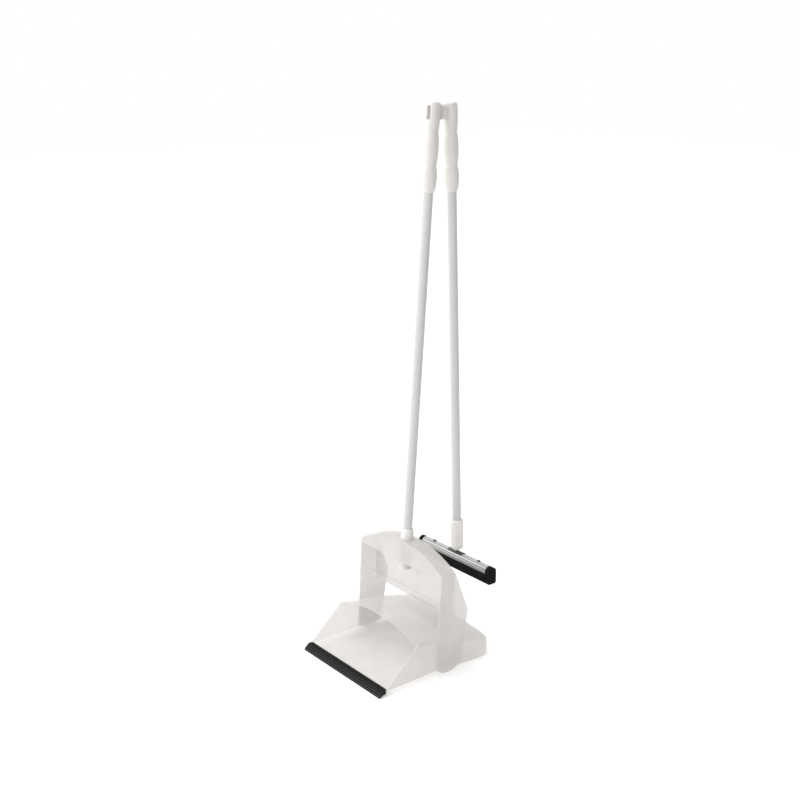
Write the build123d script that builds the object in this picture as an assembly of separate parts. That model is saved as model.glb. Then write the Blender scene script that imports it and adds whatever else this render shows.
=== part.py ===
from build123d import *
import os
from math import cos, radians, sin, tan

# Long-handled hooded dust pan with a floor squeegee hung on the back of its grip.
# Millimetres. X runs along the pan's lip, +Y points from the lip to the tail, +Z is up.
# The shapes are drawn with Y = 0 at the front edge of the pan floor and Z = 0 on the ground,
# and every part is then shifted along Y so that the origin is under the middle of the set.

# ---- pan -------------------------------------------------------------------------------
PAN_WIDTH = 297.0
PAN_WALL = 2.2
BEAD_HEIGHT = 0.9
PAN_END_Y = 331.0
PAN_FLOOR_FRONT_Z = 11.0
PAN_FLOOR_BEND_Y = 150.0
PAN_FLOOR_REAR_Y = 292.0
HOOD_FRONT_Y = 94.0
HOOD_SIDE_FRONT_Z = 96.0
HOOD_CROWN_FRONT_Z = 121.0
HOOD_SIDE_FALL = 0.19
HOOD_CROWN_FALL = 0.03
HOOD_CROWN_DROOP = 0.0021
HOOD_EDGE_RADIUS = 8.0
HOOD_EDGE_GROWTH = 0.13
TAIL_CORNER_RADIUS = 36.0
TAIL_HEEL_RADIUS = 9.0

# ---- rubber lip ------------------------------------------------------------------------
LIP_REACH = 19.0
LIP_GRIP = 5.0

# ---- pivot of the yoke on the pan ------------------------------------------------------
PIVOT_Y = 166.0
PIVOT_Z = 60.0
PIVOT_PIN_RADIUS = 5.0
PIVOT_BORE_RADIUS = 5.08
PIVOT_BOSS_RADIUS = 9.0
PIVOT_BOSS_LENGTH = 5.0
PIVOT_HEAD_RADIUS = 8.0
PIVOT_HEAD_LENGTH = 3.0

# ---- yoke ------------------------------------------------------------------------------
YOKE_WIDTH = 306.0
YOKE_CHEEK = 3.2
YOKE_SKIN = 2.6
YOKE_EDGE_RADIUS = 1.2
YOKE_LEAN = 2.9
YOKE_FOOT_Y = 148.0
ARCH_RADIUS = 296.0
ARCH_TOP = 292.3
ARCH_DEPTH = 42.0
FRONT_PANEL_LOW = 237.0
CHEEK_WIDEST = 88.0
CHEEK_WIDEST_UP = 148.0
GRIP_RAIL_LOW = 136.0
GRIP_RAIL_HIGH = 151.0

# ---- sticks, sockets and grips ---------------------------------------------------------
STICK_RADIUS = 11.0
STICK_WALL = 0.8
PAN_STICK_LEAN = 4.2
PAN_STICK_Y = 184.0
PAN_STICK_Z = 303.0
PAN_SOCKET_LOW_Z = 216.0
PAN_SOCKET_RADIUS = 15.0
GRIP_LENGTH = 196.0
GRIP_BORE_DEPTH = 150.0
GRIP_TOP_Z = 1299.0
SCREW_HEAD_RADIUS = 3.4
SCREW_HEAD_HEIGHT = 2.0
EYE_WIDTH = 12.8
EYE_HEIGHT = 32.0
EYE_CENTRE_Z = 1277.0

# ---- squeegee --------------------------------------------------------------------------
SQUEEGEE_LEAN = -2.05
SQUEEGEE_Y = 341.0
SQUEEGEE_SOCKET_TOP_Z = 298.0
SQUEEGEE_SOCKET_LENGTH = 77.0
SQUEEGEE_SOCKET_RADIUS = 16.0
TONGUE_WIDTH = 11.8
TONGUE_HEIGHT = 29.0
CHANNEL_LENGTH = 236.0
CHANNEL_HALF_DEPTH = 12.6
CHANNEL_TOP_Z = 214.0
CHANNEL_LOW_Z = 197.0
CHANNEL_SHEET = 1.2
BLADE_LENGTH = 262.0
BLADE_LOW_Z = 171.0
HOLDER_BOLT_X = 82.0
HOLDER_BOLT_RADIUS = 2.45
STUD_RADIUS = 3.0
SADDLE_LENGTH = 50.0
SADDLE_HALF_DEPTH = 8.5
SADDLE_SHEET = 1.6

# The set reaches from the tip of the lip to the back of the squeegee's socket.
SET_REAR_Y = 359.6
BASE_MIDDLE_Y = (SET_REAR_Y - LIP_REACH) / 2


def slab_x(points_yz, half_width):
    """Polygon in the YZ plane, thickened to half_width on both sides of X = 0."""
    outline = Plane.YZ * make_face(Polyline(*points_yz, close=True))
    return extrude(outline, amount=half_width, both=True)


def rod(radius, start, end):
    """Cylinder between two points."""
    path = Vector(*end) - Vector(*start)
    disc = Plane(origin=start, z_dir=path) * Circle(radius)
    return extrude(disc, amount=path.length)


def tube(outer, inner, start, end):
    """Open tube between two points."""
    return rod(outer, start, end) - rod(inner, start, end)


def on_axis(y, z, lean, length):
    """Point a given length up a stick that passes through (0, y, z)."""
    tilt = radians(lean)
    return (0, y + length * sin(tilt), z + length * cos(tilt))


# ---- pan shell -------------------------------------------------------------------------
def hood_section(y, inset):
    """Cross-section of the pan at y: straight walls under an arched hood."""
    half = PAN_WIDTH / 2 - inset
    step = y - HOOD_FRONT_Y
    side = HOOD_SIDE_FRONT_Z - HOOD_SIDE_FALL * step - inset
    droop = HOOD_CROWN_DROOP * max(0, y - 160) ** 2
    crown = max(HOOD_CROWN_FRONT_Z - HOOD_CROWN_FALL * step - droop - inset, side + 8)
    walls = Polyline((-half, side), (-half, -20), (half, -20), (half, side))
    arch = ThreePointArc((half, side), (0, crown), (-half, side))
    face = make_face(walls + arch)
    top_corners = face.vertices().sort_by(Axis.Y)[2:]
    growth = HOOD_EDGE_GROWTH * max(0, y - PAN_FLOOR_BEND_Y)
    rounded = fillet(top_corners, HOOD_EDGE_RADIUS + growth - inset)
    return Plane(origin=(0, y, 0), x_dir=(1, 0, 0), z_dir=(0, -1, 0)) * rounded


def pan_side_outline(inset, front_y):
    """Outline of the pan seen from the side, from the lip over the hood to the tail."""
    end = PAN_END_Y - inset
    floor = Polyline(
        (front_y, PAN_FLOOR_FRONT_Z + inset),
        (PAN_FLOOR_BEND_Y, PAN_FLOOR_FRONT_Z + inset),
        (PAN_FLOOR_REAR_Y, inset),
        (end - TAIL_HEEL_RADIUS + inset, inset),
    )
    heel = ThreePointArc(
        (end - TAIL_HEEL_RADIUS + inset, inset),
        (end - 0.3 * (TAIL_HEEL_RADIUS - inset), inset + 0.3 * (TAIL_HEEL_RADIUS - inset)),
        (end, TAIL_HEEL_RADIUS),
    )
    back = Spline(
        (end, TAIL_HEEL_RADIUS),
        (311 - inset, 47),
        (288 - 0.8 * inset, 84 - 0.6 * inset),
        (200, 130 - inset),
        tangents=[(0, 1), (-1, 0.2)],
    )
    return floor + heel + back


def pan_block(inset, front_points):
    """Solid pan body, inset from the outer skin, closed in front by front_points."""
    front_y = front_points[-1][0]
    back_outline = pan_side_outline(inset, front_y)
    front_outline = Polyline((200, 130 - inset), *front_points)
    side_face = Plane.YZ * make_face(back_outline + front_outline)
    side = extrude(side_face, amount=PAN_WIDTH, both=True)
    front = loft([hood_section(y, inset) for y in (-10, PAN_FLOOR_BEND_Y)], ruled=True)
    stations = range(int(PAN_FLOOR_BEND_Y), int(PAN_END_Y) + 20, 18)
    rear = loft([hood_section(y, inset) for y in stations])
    half = PAN_WIDTH / 2 - inset + 0.4
    end = PAN_END_Y - inset
    corners = [(-half, -60), (half, -60), (half, end), (-half, end)]
    plan_face = make_face(Polyline(*corners, close=True))
    rear_corners = plan_face.vertices().sort_by(Axis.Y)[2:]
    plan_face = fillet(rear_corners, TAIL_CORNER_RADIUS - inset)
    plan = extrude(Plane.XY.offset(-20) * plan_face, amount=200)
    limits = side & plan
    return (front & limits) + (rear & limits)


def mouth_bead():
    """Raised band that stiffens the edge of the mouth, up the raked walls and over the hood."""
    width = 2.8
    low = PAN_FLOOR_FRONT_Z + 2
    edge = [(0, low), (HOOD_FRONT_Y, HOOD_SIDE_FRONT_Z), (HOOD_FRONT_Y, 140)]
    back = [(HOOD_FRONT_Y + width, 140), (HOOD_FRONT_Y + width, HOOD_SIDE_FRONT_Z - 1.5), (2 * width, low)]
    swollen = pan_block(-BEAD_HEIGHT, [(-50, 140), (-50, PAN_FLOOR_FRONT_Z - BEAD_HEIGHT)])
    return swollen & slab_x(edge + back, PAN_WIDTH)


def pan_shell():
    """Hooded pan with a raked mouth, bored ears for the pivot pins and two stop ribs."""
    mouth = [(HOOD_FRONT_Y, 140), (HOOD_FRONT_Y, HOOD_SIDE_FRONT_Z), (0, PAN_FLOOR_FRONT_Z + 2)]
    outer = pan_block(0, mouth + [(0, PAN_FLOOR_FRONT_Z)])
    inner = pan_block(PAN_WALL, [(-50, 140), (-50, PAN_FLOOR_FRONT_Z + PAN_WALL)])
    shell = outer + mouth_bead() - inner
    half = PAN_WIDTH / 2
    for side in (-1, 1):
        wall_in = side * (half - PAN_WALL)
        boss_end = side * (half - PAN_WALL - PIVOT_BOSS_LENGTH)
        boss = rod(PIVOT_BOSS_RADIUS, (wall_in, PIVOT_Y, PIVOT_Z), (boss_end, PIVOT_Y, PIVOT_Z))
        bore = rod(PIVOT_BORE_RADIUS, (side * (half + 1), PIVOT_Y, PIVOT_Z),
                   (boss_end - side, PIVOT_Y, PIVOT_Z))
        shell = shell + boss - bore
        shell = shell + stop_rib(side)
    return shell


def stop_rib(side):
    """Low rib on the wall that the cheek's front edge rests against."""
    low = 16.0
    high = 44.0
    gap = 0.4
    edge_low = YOKE_FOOT_Y - gap + tan(radians(YOKE_LEAN)) * low
    edge_high = YOKE_FOOT_Y - gap + tan(radians(YOKE_LEAN)) * high
    width = 3.0
    points = [(edge_low - width, low), (edge_low, low), (edge_high, high), (edge_high - width, high)]
    rib = Plane.YZ * make_face(Polyline(*points, close=True))
    return extrude(Pos(side * (PAN_WIDTH / 2 + 0.5), 0, 0) * rib, amount=1.5, both=True)


def lip_seal():
    """Black rubber strip: a jaw over the floor's edge, a ridge and a blade down to the ground."""
    floor_top = PAN_FLOOR_FRONT_Z + PAN_WALL
    upper_jaw = [(LIP_GRIP, floor_top), (LIP_GRIP, floor_top + 1.2), (-1, floor_top + 2.2)]
    ridge = [(-5, floor_top + 1.0), (-6.5, floor_top + 1.6), (-9, floor_top - 0.2)]
    step = [(-9.8, floor_top - 2.4), (-11.6, floor_top - 3.0)]
    tip = [(-LIP_REACH, 2.8), (-LIP_REACH, 0.6), (-LIP_REACH + 1.2, 0)]
    under = [(-12, 3.2), (-9.5, 2.9), (-8, 5.4), (-3, 5.0), (LIP_GRIP, PAN_FLOOR_FRONT_Z - 2)]
    slot = [(LIP_GRIP, PAN_FLOOR_FRONT_Z), (0, PAN_FLOOR_FRONT_Z), (0, floor_top)]
    strip = slab_x(upper_jaw + ridge + step + tip + under + slot, PAN_WIDTH / 2)
    wall_room = slab_x([(0, 0), (LIP_GRIP + 1, 0), (LIP_GRIP + 1, 30), (0, 30)], PAN_WIDTH)
    middle = slab_x([(-1, -1), (30, -1), (30, 40), (-1, 40)], PAN_WIDTH / 2 - PAN_WALL)
    return strip - (wall_room - middle)


def pivot_pins():
    """Two headed pins pushed outwards through the pan walls into the cheeks."""
    pins = []
    cheek_in = YOKE_WIDTH / 2 - YOKE_CHEEK
    boss_end = PAN_WIDTH / 2 - PAN_WALL - PIVOT_BOSS_LENGTH
    head_in = boss_end - 0.4
    for side in (-1, 1):
        shank = rod(PIVOT_PIN_RADIUS, (side * head_in, PIVOT_Y, PIVOT_Z),
                    (side * (cheek_in + 2), PIVOT_Y, PIVOT_Z))
        head = rod(PIVOT_HEAD_RADIUS, (side * (head_in - PIVOT_HEAD_LENGTH), PIVOT_Y, PIVOT_Z),
                   (side * head_in, PIVOT_Y, PIVOT_Z))
        head = chamfer(head.edges().group_by(Axis.X)[0 if side > 0 else -1], 1.0)
        pins.append(shank + head)
    return Compound(children=pins)


# ---- yoke ------------------------------------------------------------------------------
# The yoke is drawn upright, with Y = 0 on its front face, and then leans back on its foot.
def lean_yoke(shape):
    return Pos(0, YOKE_FOOT_Y, 0) * Rot(-YOKE_LEAN, 0, 0) * shape


def arch_face(inset):
    """Front view of the yoke: straight sides under a shallow arch."""
    half = YOKE_WIDTH / 2 - inset
    radius = ARCH_RADIUS - inset
    drop = radius - (radius ** 2 - half ** 2) ** 0.5
    top = ARCH_TOP - inset
    shoulder = top - drop
    sides = Polyline((-half, shoulder), (-half, -5), (half, -5), (half, shoulder))
    arch = ThreePointArc((half, shoulder), (0, top), (-half, shoulder))
    return Plane(origin=(0, 0, 0), x_dir=(1, 0, 0), z_dir=(0, -1, 0)) * make_face(sides + arch)


def cheek_block():
    """Side view of the yoke, from its rounded foot past the widest point to the arch."""
    foot = ThreePointArc((72, 18), (36, 2.4), (0, 13))
    sides = Polyline((0, 13), (0, 300), (ARCH_DEPTH, 300), (ARCH_DEPTH, 252),
                     (CHEEK_WIDEST, CHEEK_WIDEST_UP), (72, 18))
    outline = make_face(foot + sides)
    widest = outline.vertices().sort_by(Axis.X)[-1]
    outline = fillet(widest, 14)
    return extrude(Plane.YZ * outline, amount=YOKE_WIDTH, both=True)


def back_web():
    """Web between the cheeks, with a rounded rail along its lower edge to carry the pan by."""
    top_y = ARCH_DEPTH
    rail_y = ARCH_DEPTH + 8
    skin = YOKE_SKIN
    web = slab_x([(top_y - skin, 300), (top_y, 300), (rail_y, GRIP_RAIL_HIGH),
                  (rail_y - skin, GRIP_RAIL_HIGH)], YOKE_WIDTH / 2)
    rail = slab_x([(rail_y - 9, GRIP_RAIL_LOW), (rail_y, GRIP_RAIL_LOW),
                   (rail_y, GRIP_RAIL_HIGH), (rail_y - 9, GRIP_RAIL_HIGH)], YOKE_WIDTH / 2)
    rail = fillet(rail.edges().filter_by(Axis.X), 3.5)
    return web + rail


def socket_axis(length):
    return on_axis(PAN_STICK_Y, PAN_STICK_Z, PAN_STICK_LEAN, length)


def yoke_shell():
    """Moulded yoke: cheeks, arch, front panel and back web, bored for the stick's socket."""
    block = extrude(arch_face(0), amount=-120) & cheek_block()
    front_edges = block.faces().sort_by(Axis.Y)[0].edges()
    block = fillet(front_edges, YOKE_EDGE_RADIUS)
    hollow = extrude(Pos(0, YOKE_SKIN, 0) * arch_face(YOKE_CHEEK), amount=-120)
    inner_half = YOKE_WIDTH / 2 - YOKE_CHEEK
    gate = slab_x([(-1, -5), (10, -5), (10, FRONT_PANEL_LOW), (-1, FRONT_PANEL_LOW)], inner_half)
    shell = block - hollow - gate
    shell = shell + (back_web() & extrude(arch_face(YOKE_CHEEK / 2), amount=-120))
    shell = lean_yoke(shell)
    bore = rod(PAN_SOCKET_RADIUS, socket_axis(-95), socket_axis(30))
    shell = shell - bore
    cheek_in = YOKE_WIDTH / 2 - YOKE_CHEEK
    for side in (-1, 1):
        pin_seat = rod(PIVOT_PIN_RADIUS, (side * (cheek_in - 1), PIVOT_Y, PIVOT_Z),
                       (side * (cheek_in + 2), PIVOT_Y, PIVOT_Z))
        shell = shell - pin_seat
    return shell


def stick_socket():
    """Socket that holds the pan's stick, flared where it stands on the arch."""
    low = (PAN_SOCKET_LOW_Z - PAN_STICK_Z) / cos(radians(PAN_STICK_LEAN))
    body = rod(PAN_SOCKET_RADIUS, socket_axis(low), socket_axis(8))
    tip = Plane(origin=socket_axis(8), z_dir=Vector(*socket_axis(9)) - Vector(*socket_axis(8)))
    neck = loft([tip * Circle(PAN_SOCKET_RADIUS), tip.offset(5) * Circle(STICK_RADIUS + 1.1)])
    bore = rod(STICK_RADIUS, socket_axis(low + 4), socket_axis(20))
    return body + neck - bore - socket_screw()


def cross_screw(y, z, facing):
    """Pan-head self-tapping screw along Y with a cross recess; facing is the way its head looks."""
    head = rod(SCREW_HEAD_RADIUS, (0, y, z), (0, y + facing * SCREW_HEAD_HEIGHT, z))
    outer_edge = head.edges().group_by(Axis.Y)[-1 if facing > 0 else 0]
    head = fillet(outer_edge, 0.9)
    recess = Box(3.6, 2.0, 0.8) + Box(0.8, 2.0, 3.6)
    head = head - Pos(0, y + facing * SCREW_HEAD_HEIGHT, z) * recess
    return head + rod(1.5, (0, y, z), (0, y - facing * 7, z))


def socket_screw():
    """Screw that pins the stick in its socket, from the front."""
    centre = Vector(*socket_axis(-28))
    return cross_screw(centre.Y - PAN_SOCKET_RADIUS + 0.3, centre.Z, -1)


def stick_tube(y, z, lean, low, high, screw):
    """Painted steel stick with the hole of its fixing screw."""
    body = tube(STICK_RADIUS, STICK_RADIUS - STICK_WALL, on_axis(y, z, lean, low),
                on_axis(y, z, lean, high))
    return body - screw


def stick_plug(y, z, lean, low, length, screw):
    """Plastic plug that stiffens the lower end of a stick."""
    body = rod(STICK_RADIUS - STICK_WALL, on_axis(y, z, lean, low), on_axis(y, z, lean, low + length))
    return body - screw


def grip_body(y, z, lean, top_z):
    """Three-wave hand grip around the top of a stick, with a blind bore for it."""
    top = GRIP_LENGTH - 2.5
    low_wave = ThreePointArc((13.0, 1.5), (16.8, 30), (13.9, 59))
    middle_wave = ThreePointArc((13.9, 59), (16.6, 93), (13.7, 133))
    high_wave = ThreePointArc((13.7, 133), (15.7, 163), (14.6, top))
    ends = Polyline((14.6, top), (12.8, GRIP_LENGTH), (0, GRIP_LENGTH), (0, 0), (11.9, 0), (13.0, 1.5))
    profile = low_wave + middle_wave + high_wave + ends
    solid = revolve(Plane.XZ * make_face(profile), Axis.Z)
    solid = solid - Cylinder(STICK_RADIUS, GRIP_BORE_DEPTH, align=(Align.CENTER, Align.CENTER, Align.MIN))
    rise = (top_z - z) / cos(radians(lean)) - GRIP_LENGTH
    base = on_axis(y, z, lean, rise)
    return Pos(*base) * Rot(-lean, 0, 0) * solid


def eye_cut(width, height, from_y, to_y):
    """Upright oval prism along Y, at the height of the hanging eye."""
    plane = Plane(origin=(0, from_y, EYE_CENTRE_Z), x_dir=(0, 0, 1), z_dir=(0, 1, 0))
    return extrude(plane * SlotOverall(height, width), amount=to_y - from_y)


def pan_grip():
    body = grip_body(PAN_STICK_Y, PAN_STICK_Z, PAN_STICK_LEAN, GRIP_TOP_Z)
    return body - eye_cut(EYE_WIDTH, EYE_HEIGHT, 200, 300)


def squeegee_grip():
    """The same grip, with a tongue that plugs forward into the other grip's eye."""
    body = grip_body(SQUEEGEE_Y, SQUEEGEE_SOCKET_TOP_Z, SQUEEGEE_LEAN, GRIP_TOP_Z - 2)
    pan_axis_y = PAN_STICK_Y + (EYE_CENTRE_Z - PAN_STICK_Z) * tan(radians(PAN_STICK_LEAN))
    own_axis_y = SQUEEGEE_Y + (EYE_CENTRE_Z - SQUEEGEE_SOCKET_TOP_Z) * tan(radians(SQUEEGEE_LEAN))
    tongue = eye_cut(TONGUE_WIDTH, TONGUE_HEIGHT, pan_axis_y - 6, own_axis_y)
    shoulder = eye_cut(TONGUE_WIDTH + 6, TONGUE_HEIGHT + 4, pan_axis_y + 19, own_axis_y)
    return body + tongue + shoulder


# ---- squeegee --------------------------------------------------------------------------
def squeegee_point(length):
    return on_axis(SQUEEGEE_Y, SQUEEGEE_SOCKET_TOP_Z, SQUEEGEE_LEAN, length)


def squeegee_screw():
    """Screw that pins the squeegee's stick in its socket, from behind."""
    centre = Vector(*squeegee_point(-22))
    return cross_screw(centre.Y + SQUEEGEE_SOCKET_RADIUS - 0.4, centre.Z, 1)


def squeegee_socket():
    """White moulded socket, narrowed at its foot, tapped for the head's stud."""
    length = SQUEEGEE_SOCKET_LENGTH
    foot = Vector(*squeegee_point(-length))
    body = rod(SQUEEGEE_SOCKET_RADIUS, squeegee_point(-length), squeegee_point(0))
    body = chamfer(body.edges().group_by(Axis.Z)[-1], 1.5)
    body = chamfer(body.edges().group_by(Axis.Z)[0], 4.0)
    bore = rod(STICK_RADIUS, squeegee_point(-55), squeegee_point(5))
    stud_hole = rod(STUD_RADIUS + 0.05, (0, SQUEEGEE_Y, foot.Z - 10), (0, SQUEEGEE_Y, foot.Z + 14))
    return body - bore - stud_hole - squeegee_screw()


def channel_outline(inset, low):
    """Section of the blade holder: straight sides under a half-round back."""
    half = CHANNEL_HALF_DEPTH - inset
    shoulder = CHANNEL_TOP_Z - 10
    top = CHANNEL_TOP_Z - inset
    sides = Polyline((SQUEEGEE_Y - half, shoulder), (SQUEEGEE_Y - half, low),
                     (SQUEEGEE_Y + half, low), (SQUEEGEE_Y + half, shoulder))
    back = ThreePointArc((SQUEEGEE_Y + half, shoulder), (SQUEEGEE_Y, top),
                         (SQUEEGEE_Y - half, shoulder))
    return Plane.YZ * make_face(sides + back)


def channel_sheet():
    """The holder's bent sheet, before it is beaded and drilled."""
    outer = extrude(channel_outline(0, CHANNEL_LOW_Z), amount=CHANNEL_LENGTH / 2, both=True)
    hollow = extrude(channel_outline(CHANNEL_SHEET, CHANNEL_LOW_Z - 5),
                     amount=CHANNEL_LENGTH / 2 + 1, both=True)
    return outer - hollow


def upright(radius, x, low, high):
    """Upright rod through the middle of the squeegee head."""
    return rod(radius, (x, SQUEEGEE_Y, low), (x, SQUEEGEE_Y, high))


def blade_channel():
    """Galvanised steel holder, an inverted trough with beads rolled along its sides."""
    channel = channel_sheet()
    end = CHANNEL_LENGTH / 2
    for side in (-1, 1):
        y = SQUEEGEE_Y + side * (CHANNEL_HALF_DEPTH - 0.1)
        for z in (CHANNEL_LOW_Z + 1.0, CHANNEL_LOW_Z + 5.5):
            channel = channel + rod(0.9, (-end, y, z), (end, y, z))
    hollow = extrude(channel_outline(CHANNEL_SHEET, CHANNEL_LOW_Z - 5), amount=end + 1, both=True)
    channel = channel - hollow
    for x in (-HOLDER_BOLT_X, HOLDER_BOLT_X):
        channel = channel - upright(HOLDER_BOLT_RADIUS + 0.05, x, CHANNEL_TOP_Z - 6, CHANNEL_TOP_Z + 6)
    return channel - upright(STUD_RADIUS + 0.05, 0, CHANNEL_TOP_Z - 6, CHANNEL_TOP_Z + 6)


def blade(side):
    """Soft rubber blade, one of the pair gripped back to back in the holder."""
    strip = extrude(channel_outline(0, BLADE_LOW_Z), amount=BLADE_LENGTH / 2, both=True)
    near = SQUEEGEE_Y + side * 0.25
    far = SQUEEGEE_Y + side * 30
    strip = strip & slab_x([(near, 150), (far, 150), (far, 230), (near, 230)], 200)
    outer_low_edge = strip.edges().filter_by(Axis.X).sort_by(Axis.Z)[:2].sort_by(Axis.Y)[0 if side < 0 else 1]
    strip = chamfer(outer_low_edge, 3.0) - channel_sheet()
    for x in (-HOLDER_BOLT_X, 0, HOLDER_BOLT_X):
        strip = strip - upright(6.4, x, CHANNEL_TOP_Z - 15, CHANNEL_TOP_Z + 6)
    return strip


def on_holder(shape):
    """Shape trimmed to sit on the holder's rounded back."""
    return shape - extrude(channel_outline(0, CHANNEL_LOW_Z), amount=CHANNEL_LENGTH / 2, both=True)


def holder_bolts():
    """Two round-headed bolts through the holder's back that clamp the blades."""
    bolts = []
    for x in (-HOLDER_BOLT_X, HOLDER_BOLT_X):
        head = upright(4.6, x, CHANNEL_TOP_Z - 2, CHANNEL_TOP_Z + 2.8)
        head = on_holder(fillet(head.edges().group_by(Axis.Z)[-1], 2.2))
        bolts.append(head + upright(HOLDER_BOLT_RADIUS, x, CHANNEL_TOP_Z - 9, CHANNEL_TOP_Z + 1))
    return Compound(children=bolts)


def hexagon(x, across_flats, low, height):
    """Upright hexagonal prism in the middle of the squeegee head."""
    corner = across_flats / (2 * cos(radians(30)))
    return extrude(Pos(x, SQUEEGEE_Y, low) * RegularPolygon(corner, 6), amount=height)


def holder_nuts():
    """Nuts of the two clamping bolts, inside the holder."""
    nuts = []
    for x in (-HOLDER_BOLT_X, HOLDER_BOLT_X):
        nut = hexagon(x, 8, CHANNEL_TOP_Z - 6.2, 4)
        nuts.append(nut - upright(HOLDER_BOLT_RADIUS, x, CHANNEL_TOP_Z - 10, CHANNEL_TOP_Z))
    return Compound(children=nuts)


def saddle_plate():
    """Steel plate bent over the holder's back to spread the load of the socket."""
    plate = extrude(channel_outline(-SADDLE_SHEET, CHANNEL_LOW_Z), amount=SADDLE_LENGTH / 2, both=True)
    near = SQUEEGEE_Y - SADDLE_HALF_DEPTH
    far = SQUEEGEE_Y + SADDLE_HALF_DEPTH
    plate = on_holder(plate & slab_x([(near, 150), (far, 150), (far, 230), (near, 230)], 200))
    return plate - upright(STUD_RADIUS + 0.05, 0, CHANNEL_TOP_Z - 6, CHANNEL_TOP_Z + 6)


def head_stud():
    """Hexagon-headed stud that joins the holder to the socket's foot."""
    foot_z = SQUEEGEE_SOCKET_TOP_Z - SQUEEGEE_SOCKET_LENGTH * cos(radians(SQUEEGEE_LEAN))
    head = hexagon(0, 10, CHANNEL_TOP_Z - 6.8, 4)
    return head + upright(STUD_RADIUS, 0, CHANNEL_TOP_Z - 4, foot_z + 12)


def stud_nut():
    """Lock nut on the stud, drawn down on the saddle plate."""
    nut = hexagon(0, 10, CHANNEL_TOP_Z + SADDLE_SHEET, 3.8)
    return nut - upright(STUD_RADIUS, 0, CHANNEL_TOP_Z - 4, CHANNEL_TOP_Z + 20)


def pan_stick():
    low = (PAN_SOCKET_LOW_Z - PAN_STICK_Z) / cos(radians(PAN_STICK_LEAN)) + 4
    high = (GRIP_TOP_Z - PAN_STICK_Z) / cos(radians(PAN_STICK_LEAN)) - GRIP_LENGTH + GRIP_BORE_DEPTH
    return stick_tube(PAN_STICK_Y, PAN_STICK_Z, PAN_STICK_LEAN, low, high, socket_screw())


def pan_stick_plug():
    low = (PAN_SOCKET_LOW_Z - PAN_STICK_Z) / cos(radians(PAN_STICK_LEAN)) + 4
    return stick_plug(PAN_STICK_Y, PAN_STICK_Z, PAN_STICK_LEAN, low, 70, socket_screw())


def squeegee_stick():
    rise = (GRIP_TOP_Z - 2 - SQUEEGEE_SOCKET_TOP_Z) / cos(radians(SQUEEGEE_LEAN))
    high = rise - GRIP_LENGTH + GRIP_BORE_DEPTH
    return stick_tube(SQUEEGEE_Y, SQUEEGEE_SOCKET_TOP_Z, SQUEEGEE_LEAN, -55, high, squeegee_screw())


def squeegee_stick_plug():
    return stick_plug(SQUEEGEE_Y, SQUEEGEE_SOCKET_TOP_Z, SQUEEGEE_LEAN, -55, 50, squeegee_screw())


def export(name, shape):
    placed = Pos(0, -BASE_MIDDLE_Y, 0) * shape
    placed.label = name
    export_step(placed, f"parts/{name}.step")


def main():
    os.makedirs("parts", exist_ok=True)
    export("pan_shell", pan_shell())
    export("lip_seal", lip_seal())
    export("pivot_pins", pivot_pins())
    export("yoke_shell", yoke_shell())
    export("stick_socket", stick_socket())
    export("socket_screw", socket_screw())
    export("pan_stick", pan_stick())
    export("pan_stick_plug", pan_stick_plug())
    export("pan_grip", pan_grip())
    export("squeegee_grip", squeegee_grip())
    export("squeegee_stick", squeegee_stick())
    export("squeegee_stick_plug", squeegee_stick_plug())
    export("squeegee_socket", squeegee_socket())
    export("squeegee_screw", squeegee_screw())
    export("stud_nut", stud_nut())
    export("head_stud", head_stud())
    export("saddle_plate", saddle_plate())
    export("blade_channel", blade_channel())
    export("holder_bolts", holder_bolts())
    export("holder_nuts", holder_nuts())
    export("blade_front", blade(-1))
    export("blade_rear", blade(1))


main()
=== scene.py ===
from math import pi, radians

import bmesh
import bpy
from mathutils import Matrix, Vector


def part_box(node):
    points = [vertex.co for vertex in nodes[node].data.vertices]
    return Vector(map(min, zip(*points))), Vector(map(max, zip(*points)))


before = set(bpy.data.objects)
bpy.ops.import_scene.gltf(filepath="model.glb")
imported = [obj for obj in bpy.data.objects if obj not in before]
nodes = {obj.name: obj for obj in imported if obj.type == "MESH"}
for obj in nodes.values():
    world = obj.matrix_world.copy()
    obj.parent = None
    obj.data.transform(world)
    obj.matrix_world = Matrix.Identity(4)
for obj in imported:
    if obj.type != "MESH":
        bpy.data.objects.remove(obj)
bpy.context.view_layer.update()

# Camera, in metres in the frame: fitted to the straight edges of the pan and the two sticks.
CAMERA_PLACE = Vector((2.0526, -1.6681, 1.4163))
CAMERA_TURN = radians(51.05)
CAMERA_DOWN = radians(16.44)
CAMERA_LENS_MM = 54.0

# Studio, in metres.
FLOOR_HALF = 14.0
FLAG_HALF = 1.6
FLAG_PLACE = Vector((1.9, 1.5, 1.65))
FLAG_AIM = Vector((0, 0, 0.7))
LIGHT_AIM = (0, 0, 0.4)

# Places on the object that the finishes, the painted shade and the painted highlights are tied to, in
# metres.
YOKE_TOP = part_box("yoke_shell")[1].z
# band under the yoke's top over which the collar's painted shade fades in
COLLAR_SHADE_FADE = (0.015, 0.03)
CHANNEL_LOW, CHANNEL_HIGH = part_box("blade_channel")
CHANNEL_MIDDLE_Y = (CHANNEL_LOW.y + CHANNEL_HIGH.y) / 2
CHANNEL_HALF = (CHANNEL_HIGH.y - CHANNEL_LOW.y) / 2
# height of the band along the channel's lower edge that is coloured darker
LOWER_DARK_HEIGHT = 0.022
GROOVE_SHARES = (0.42, 0.56, 0.84)
GROOVE_WIDTH = 0.0012
# front edge of the lip, towards which the painted highlight on the rib crests grows
LIP_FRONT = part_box("lip_seal")[0].y
LIP_RIB_PITCH = 0.0042


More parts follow.
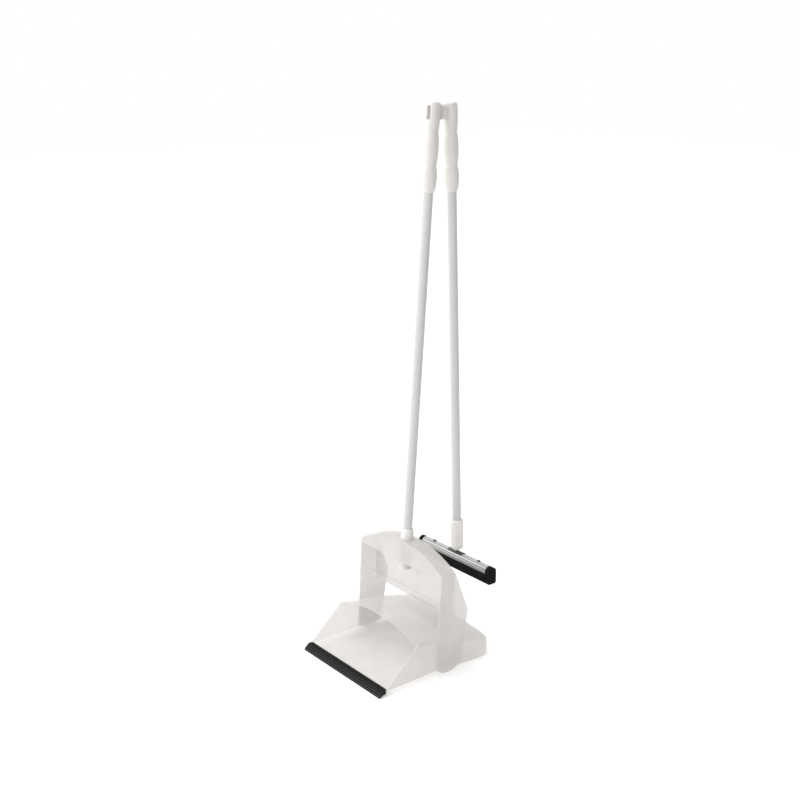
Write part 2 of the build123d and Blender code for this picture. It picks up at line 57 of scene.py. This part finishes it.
# ---- small helpers for node trees ------------------------------------------------------
class Shader:
    """A Principled material whose colour, gloss and relief come from procedural layers."""

    def __init__(self, name, colour, roughness, **sockets):
        self.material = bpy.data.materials.new(name)
        self.material.use_nodes = True
        self.tree = self.material.node_tree
        self.tree.nodes.clear()
        self.out = self.add("ShaderNodeOutputMaterial")
        self.bsdf = self.add("ShaderNodeBsdfPrincipled")
        self.tree.links.new(self.bsdf.outputs[0], self.out.inputs["Surface"])
        self.bsdf.inputs["Base Color"].default_value = (*colour, 1)
        self.bsdf.inputs["Roughness"].default_value = roughness
        for socket, value in sockets.items():
            self.bsdf.inputs[socket.replace("_", " ")].default_value = value
        self.place = self.add("ShaderNodeTexCoord").outputs["Object"]
        self.normal = None

    def add(self, kind, **values):
        node = self.tree.nodes.new(kind)
        for key, value in values.items():
            setattr(node, key, value)
        return node

    def link(self, source, target):
        self.tree.links.new(source, target)

    def stretched(self, scale):
        """Object coordinates, in metres, multiplied per axis."""
        node = self.add("ShaderNodeMapping")
        node.inputs["Scale"].default_value = scale
        self.link(self.place, node.inputs["Vector"])
        return node.outputs[0]

    def noise(self, size, detail=3.0, rough=0.5, stretch=(1, 1, 1), distortion=0.0):
        """Noise with features about size metres across."""
        node = self.add("ShaderNodeTexNoise")
        node.inputs["Scale"].default_value = 1.0
        node.inputs["Detail"].default_value = detail
        node.inputs["Roughness"].default_value = rough
        node.inputs["Distortion"].default_value = distortion
        scale = tuple(s / size for s in stretch)
        self.link(self.stretched(scale), node.inputs["Vector"])
        return node.outputs["Fac"]

    def cells(self, size, stretch=(1, 1, 1)):
        """Cells about size metres across."""
        node = self.add("ShaderNodeTexVoronoi", feature="F1")
        node.inputs["Scale"].default_value = 1.0
        scale = tuple(s / size for s in stretch)
        self.link(self.stretched(scale), node.inputs["Vector"])
        return node

    def ramp(self, value, stops):
        """Maps a value through (position, grey or colour) stops."""
        node = self.add("ShaderNodeValToRGB")
        points = node.color_ramp.elements
        while len(points) < len(stops):
            points.new(0.5)
        for point, (position, shade) in zip(points, stops):
            point.position = position
            rgb = shade if isinstance(shade, tuple) else (shade, shade, shade)
            point.color = (*rgb, 1)
        self.link(value, node.inputs["Fac"])
        return node.outputs["Color"]

    def mapped(self, value, low, high, to_low, to_high):
        """Value from the first range, carried over to the second and clamped to it."""
        node = self.add("ShaderNodeMapRange")
        ends = {"From Min": low, "From Max": high, "To Min": to_low, "To Max": to_high}
        for name, number in ends.items():
            node.inputs[name].default_value = number
        self.link(value, node.inputs["Value"])
        return node.outputs["Result"]

    def math(self, operation, first, second=None):
        node = self.add("ShaderNodeMath", operation=operation)
        for socket, value in zip(node.inputs, (first, second)):
            if value is None:
                continue
            if isinstance(value, (int, float)):
                socket.default_value = value
            else:
                self.link(value, socket)
        return node.outputs[0]

    def axis(self, letter):
        """One object coordinate, in metres."""
        node = self.add("ShaderNodeSeparateXYZ")
        self.link(self.place, node.inputs[0])
        return node.outputs[letter]

    def mix(self, share, first, second):
        """Colour between first (share 0) and second (share 1)."""
        node = self.add("ShaderNodeMix", data_type="RGBA")
        sockets = (node.inputs[0], node.inputs[6], node.inputs[7])
        for socket, value in zip(sockets, (share, first, second)):
            if isinstance(value, tuple):
                socket.default_value = (*value, 1)
            elif isinstance(value, (int, float)):
                socket.default_value = value
            else:
                self.link(value, socket)
        return node.outputs[2]

    def bump(self, height, depth):
        """Adds relief: height 0 to 1 stands for depth metres."""
        node = self.add("ShaderNodeBump")
        node.inputs["Strength"].default_value = 1.0
        node.inputs["Distance"].default_value = depth
        self.link(height, node.inputs["Height"])
        if self.normal is not None:
            self.link(self.normal, node.inputs["Normal"])
        self.normal = node.outputs["Normal"]
        self.link(self.normal, self.bsdf.inputs["Normal"])

    def set(self, socket, source):
        self.link(source, self.bsdf.inputs[socket])


# ---- materials -------------------------------------------------------------------------
def moulded_plastic(name, colour, shade, roughness, glow, radius, cover=1.0, painted_glow=0.0):
    """Milky plastic: cloudy colour, moulded grain, faint flow lines and handling scuffs.

    cover is the share of light that one wall stops, and the last argument is a painted glow:
    light that the plastic gives off itself, standing in for light scattered along inside it and
    lifting its shaded insides.
    """
    s = Shader(name, colour, roughness, Subsurface_Weight=glow, Subsurface_Scale=radius, IOR=1.49)
    s.bsdf.inputs["Alpha"].default_value = cover
    # painted glow: the plastic gives off light of its own, which lifts its shaded insides
    s.bsdf.inputs["Emission Color"].default_value = (1.0, 0.985, 0.965, 1)
    s.bsdf.inputs["Emission Strength"].default_value = painted_glow
    s.bsdf.inputs["Subsurface Radius"].default_value = (1.0, 0.95, 0.88)
    cloud = s.noise(0.07, detail=3, stretch=(1, 1, 0.6))
    flow = s.noise(0.02, detail=5, rough=0.6, stretch=(0.35, 1, 1), distortion=0.6)
    tone = s.math("ADD", s.math("MULTIPLY", cloud, 0.7), s.math("MULTIPLY", flow, 0.3))
    s.set("Base Color", s.ramp(tone, [(0.3, shade), (0.65, colour)]))
    scuff = s.noise(0.004, detail=6, rough=0.75, stretch=(1, 0.25, 1), distortion=1.2)
    worn = s.ramp(scuff, [(0.45, 0.0), (0.78, 1.0)])
    s.set("Roughness", s.mapped(worn, 0, 1, roughness - 0.04, roughness + 0.13))
    s.bump(s.noise(0.0007, detail=2, rough=0.6), 0.000022)
    s.bump(s.noise(0.018, detail=2), 0.00025)
    s.bump(worn, 0.00002)
    return s


def socket_collar():
    """White collar with painted shade on its end down inside the yoke, where its colour is darker."""
    s = moulded_plastic("collar_plastic", (0.80, 0.785, 0.77), (0.76, 0.745, 0.73), 0.34, 0.3, 0.004)
    white = s.bsdf.inputs["Base Color"].links[0].from_socket
    # painted shade: where the collar reaches down inside the yoke, its colour is made darker
    depth = s.mapped(s.axis("Z"), YOKE_TOP - COLLAR_SHADE_FADE[1], YOKE_TOP - COLLAR_SHADE_FADE[0], 1, 0)
    s.set("Base Color", s.mix(depth, white, (0.66, 0.64, 0.615)))
    return s


def painted_tube():
    """White powder coat with its fine orange peel and uneven gloss."""
    white = (0.61, 0.605, 0.597)
    s = Shader("stick_paint", white, 0.3, IOR=1.5, Coat_Weight=0.25, Coat_Roughness=0.12)
    patches = s.noise(0.05, stretch=(1, 1, 0.2))
    s.set("Base Color", s.ramp(patches, [(0.3, (0.57, 0.565, 0.557)), (0.7, white)]))
    gloss = s.noise(0.003, detail=5, stretch=(1, 1, 0.2))
    s.set("Roughness", s.mapped(gloss, 0.3, 0.7, 0.24, 0.36))
    s.bump(s.noise(0.0022, detail=2), 0.00004)
    return s


def steel(name, colour, roughness, grain, spangle):
    """Rolled steel with grain along X; spangle adds the crystals of a zinc coat."""
    s = Shader(name, colour, roughness, Metallic=1.0)
    lines = s.noise(0.0006, detail=4, rough=0.6, stretch=(0.02, 1, 1))
    tone = lines
    if spangle:
        crystal = s.cells(0.006, stretch=(0.6, 1, 1)).outputs["Color"]
        grey = s.add("ShaderNodeRGBToBW")
        s.link(crystal, grey.inputs[0])
        tone = s.math("ADD", s.math("MULTIPLY", lines, 0.6), s.math("MULTIPLY", grey.outputs[0], 0.4))
    dull = tuple(0.72 * c for c in colour)
    s.set("Base Color", s.ramp(tone, [(0.25, dull), (0.7, colour)]))
    s.set("Roughness", s.mapped(tone, 0.2, 0.8, roughness - 0.06, roughness + 0.12))
    s.bump(lines, grain)
    return s


def holder_steel():
    """Galvanised sheet with fine rolled grooves along it, painted shade in the grooves, and darker
    towards its lower edge.
    """
    s = steel("channel_steel", (0.74, 0.74, 0.73), 0.34, 0.00003, True)
    across = s.math("ABSOLUTE", s.math("SUBTRACT", s.axis("Y"), CHANNEL_MIDDLE_Y))
    deepest = None
    for share in GROOVE_SHARES:
        away = s.math("ABSOLUTE", s.math("SUBTRACT", across, share * CHANNEL_HALF))
        groove = s.mapped(away, 0, GROOVE_WIDTH, 0, 1)
        deepest = groove if deepest is None else s.math("MINIMUM", deepest, groove)
    s.bump(deepest, 0.0006)
    plain = s.bsdf.inputs["Base Color"].links[0].from_socket
    # painted shade: the grooves are coloured dark as well as bumped
    groove_shaded = s.mix(deepest, (0.13, 0.13, 0.13), plain)
    # colour made darker towards the channel's lower edge
    low = s.mapped(s.axis("Z"), CHANNEL_LOW.z, CHANNEL_LOW.z + LOWER_DARK_HEIGHT, 0.75, 0.0)
    s.set("Base Color", s.mix(low, groove_shaded, (0.14, 0.14, 0.138)))
    return s


def lip_rubber():
    """Extruded black rubber: lengthwise ribs with painted highlights on their crests, die lines and a
    bloom.
    """
    black = (0.004, 0.004, 0.0037)
    s = Shader("lip_rubber", black, 0.55, Specular_IOR_Level=0.1)
    cloud = s.noise(0.015, detail=5, rough=0.65)
    bloom = s.ramp(cloud, [(0.35, black), (0.75, (0.012, 0.0117, 0.011))])
    wave = s.math("SINE", s.math("MULTIPLY", s.axis("Y"), 2 * pi / LIP_RIB_PITCH))
    rib = s.mapped(wave, 0.1, 1.0, 0, 1)
    # painted highlight: the rib crests are coloured lighter, most of all near the front edge
    front = s.mapped(s.axis("Y"), LIP_FRONT + 0.002, LIP_FRONT + 0.013, 0.75, 0.1)
    s.set("Base Color", s.mix(s.math("MULTIPLY", rib, front), bloom, (0.09, 0.088, 0.083)))
    s.bump(rib, 0.0005)
    s.set("Roughness", s.mapped(s.noise(0.006, detail=4), 0.3, 0.7, 0.45, 0.66))
    s.bump(s.noise(0.0009, detail=3, stretch=(0.02, 1, 1)), 0.00012)
    s.bump(s.noise(0.0006, detail=2), 0.00003)
    return s


def cellular_rubber():
    """Expanded black rubber with open pores on its cut faces, with painted shade in the pores."""
    black = (0.014, 0.014, 0.014)
    s = Shader("blade_rubber", black, 0.82, Specular_IOR_Level=0.08)
    pores = s.cells(0.0011).outputs["Distance"]
    pit = s.ramp(pores, [(0.15, 0.0), (0.5, 1.0)])
    # painted shade: the pore centres are coloured darker than the rubber around them
    s.set("Base Color", s.mix(pit, (0.002, 0.002, 0.002), (0.011, 0.011, 0.011)))
    s.set("Roughness", s.mapped(s.noise(0.01, detail=4), 0.3, 0.7, 0.74, 0.9))
    s.bump(pit, 0.00025)
    s.bump(s.noise(0.004, detail=4), 0.0003)
    return s


materials = {
    "pan_plastic": moulded_plastic("pan_plastic", (0.645, 0.622, 0.60), (0.565, 0.542, 0.522),
                                   0.4, 0.0, 0.009, cover=0.45, painted_glow=0.13),
    "yoke_plastic": moulded_plastic("yoke_plastic", (0.625, 0.60, 0.576), (0.545, 0.521, 0.50),
                                    0.4, 0.0, 0.009, cover=0.54, painted_glow=0.1),
    "socket_plastic": moulded_plastic("socket_plastic", (0.86, 0.84, 0.82), (0.81, 0.79, 0.77),
                                      0.34, 0.3, 0.004),
    "collar_plastic": socket_collar(),
    "grip_plastic": moulded_plastic("grip_plastic", (0.73, 0.712, 0.685), (0.67, 0.652, 0.625),
                                    0.38, 0.3, 0.005),
    "plug_plastic": moulded_plastic("plug_plastic", (0.6, 0.6, 0.59), (0.55, 0.55, 0.54),
                                    0.5, 0.0, 0.002),
    "stick_paint": painted_tube(),
    "screw_steel": steel("screw_steel", (0.66, 0.66, 0.67), 0.28, 0.00001, False),
    "channel_steel": holder_steel(),
    "dark_steel": steel("dark_steel", (0.17, 0.17, 0.17), 0.4, 0.00003, False),
    "lip_rubber": lip_rubber(),
    "blade_rubber": cellular_rubber(),
}
FINISH = {
    "pan_plastic": ("pan_shell",),
    "yoke_plastic": ("yoke_shell", "pivot_pins"),
    "collar_plastic": ("stick_socket",),
    "socket_plastic": ("squeegee_socket",),
    "grip_plastic": ("pan_grip", "squeegee_grip"),
    "plug_plastic": ("pan_stick_plug", "squeegee_stick_plug"),
    "stick_paint": ("pan_stick", "squeegee_stick"),
    "screw_steel": ("socket_screw", "squeegee_screw", "stud_nut", "head_stud", "holder_nuts"),
    "channel_steel": ("blade_channel",),
    "dark_steel": ("saddle_plate", "holder_bolts"),
    "lip_rubber": ("lip_seal",),
    "blade_rubber": ("blade_front", "blade_rear"),
}
for finish, names in FINISH.items():
    for name in names:
        slots = nodes[name].data.materials
        slots.clear()
        slots.append(materials[finish].material)


# ---- studio ----------------------------------------------------------------------------
def floor_material():
    """Matt white paper, lit up a little so that it stays white in the set's shade."""
    s = Shader("studio_floor", (0.9, 0.9, 0.9), 0.8,
               Specular_IOR_Level=0.2, Emission_Strength=0.24)
    s.bsdf.inputs["Emission Color"].default_value = (1, 1, 1, 1)
    s.set("Base Color", s.ramp(s.noise(0.4), [(0.3, 0.895), (0.7, 0.905)]))
    return s.material


def flat_card(name, segments, half, material):
    """Square card lying flat at the origin."""
    mesh = bpy.data.meshes.new(name)
    bm = bmesh.new()
    bmesh.ops.create_grid(bm, x_segments=segments, y_segments=segments, size=half)
    bm.to_mesh(mesh)
    bm.free()
    card = bpy.data.objects.new(name, mesh)
    card.data.materials.append(material)
    bpy.context.scene.collection.objects.link(card)
    return card


def dark_flag():
    """Dark card out to the right, unseen itself, that shades the right of every round form."""
    paint = Shader("flag_cloth", (0.05, 0.05, 0.05), 0.9, Specular_IOR_Level=0.1)
    paint.bump(paint.noise(0.002), 0.0002)
    card = flat_card("dark_flag", 1, FLAG_HALF, paint.material)
    card.location = FLAG_PLACE
    card.rotation_euler = (FLAG_AIM - FLAG_PLACE).to_track_quat("Z", "Y").to_euler()
    card.visible_camera = False


def area_light(name, place, side, power):
    """Square lamp aimed at the set."""
    data = bpy.data.lights.new(name, "AREA")
    data.shape = "RECTANGLE"
    data.size = data.size_y = side
    data.energy = power
    lamp = bpy.data.objects.new(name, data)
    lamp.location = place
    lamp.rotation_euler = (Vector(LIGHT_AIM) - Vector(place)).to_track_quat("-Z", "Y").to_euler()
    bpy.context.scene.collection.objects.link(lamp)


def studio():
    """White surroundings, a white floor, a soft key from the left and a soft light overhead."""
    flat_card("studio_floor", 8, FLOOR_HALF, floor_material())
    dark_flag()
    world = bpy.data.worlds.new("studio")
    world.use_nodes = True
    background = world.node_tree.nodes["Background"]
    background.inputs["Color"].default_value = (1, 1, 1, 1)
    background.inputs["Strength"].default_value = 1.0
    bpy.context.scene.world = world
    area_light("key_from_left", (-2.2, -2.4, 2.4), 1.6, 42)
    area_light("overhead", (-0.2, -0.3, 3.6), 2.5, 24)


def camera():
    """Camera at the angle of the reference view."""
    data = bpy.data.cameras.new("photo_camera")
    data.lens = CAMERA_LENS_MM
    data.sensor_width = 36.0
    data.clip_end = 100
    seen = bpy.data.objects.new("photo_camera", data)
    seen.location = CAMERA_PLACE
    seen.rotation_euler = (pi / 2 - CAMERA_DOWN, 0, CAMERA_TURN)
    bpy.context.scene.collection.objects.link(seen)
    bpy.context.scene.camera = seen


studio()
camera()
bpy.context.scene.view_settings.view_transform = "Standard"
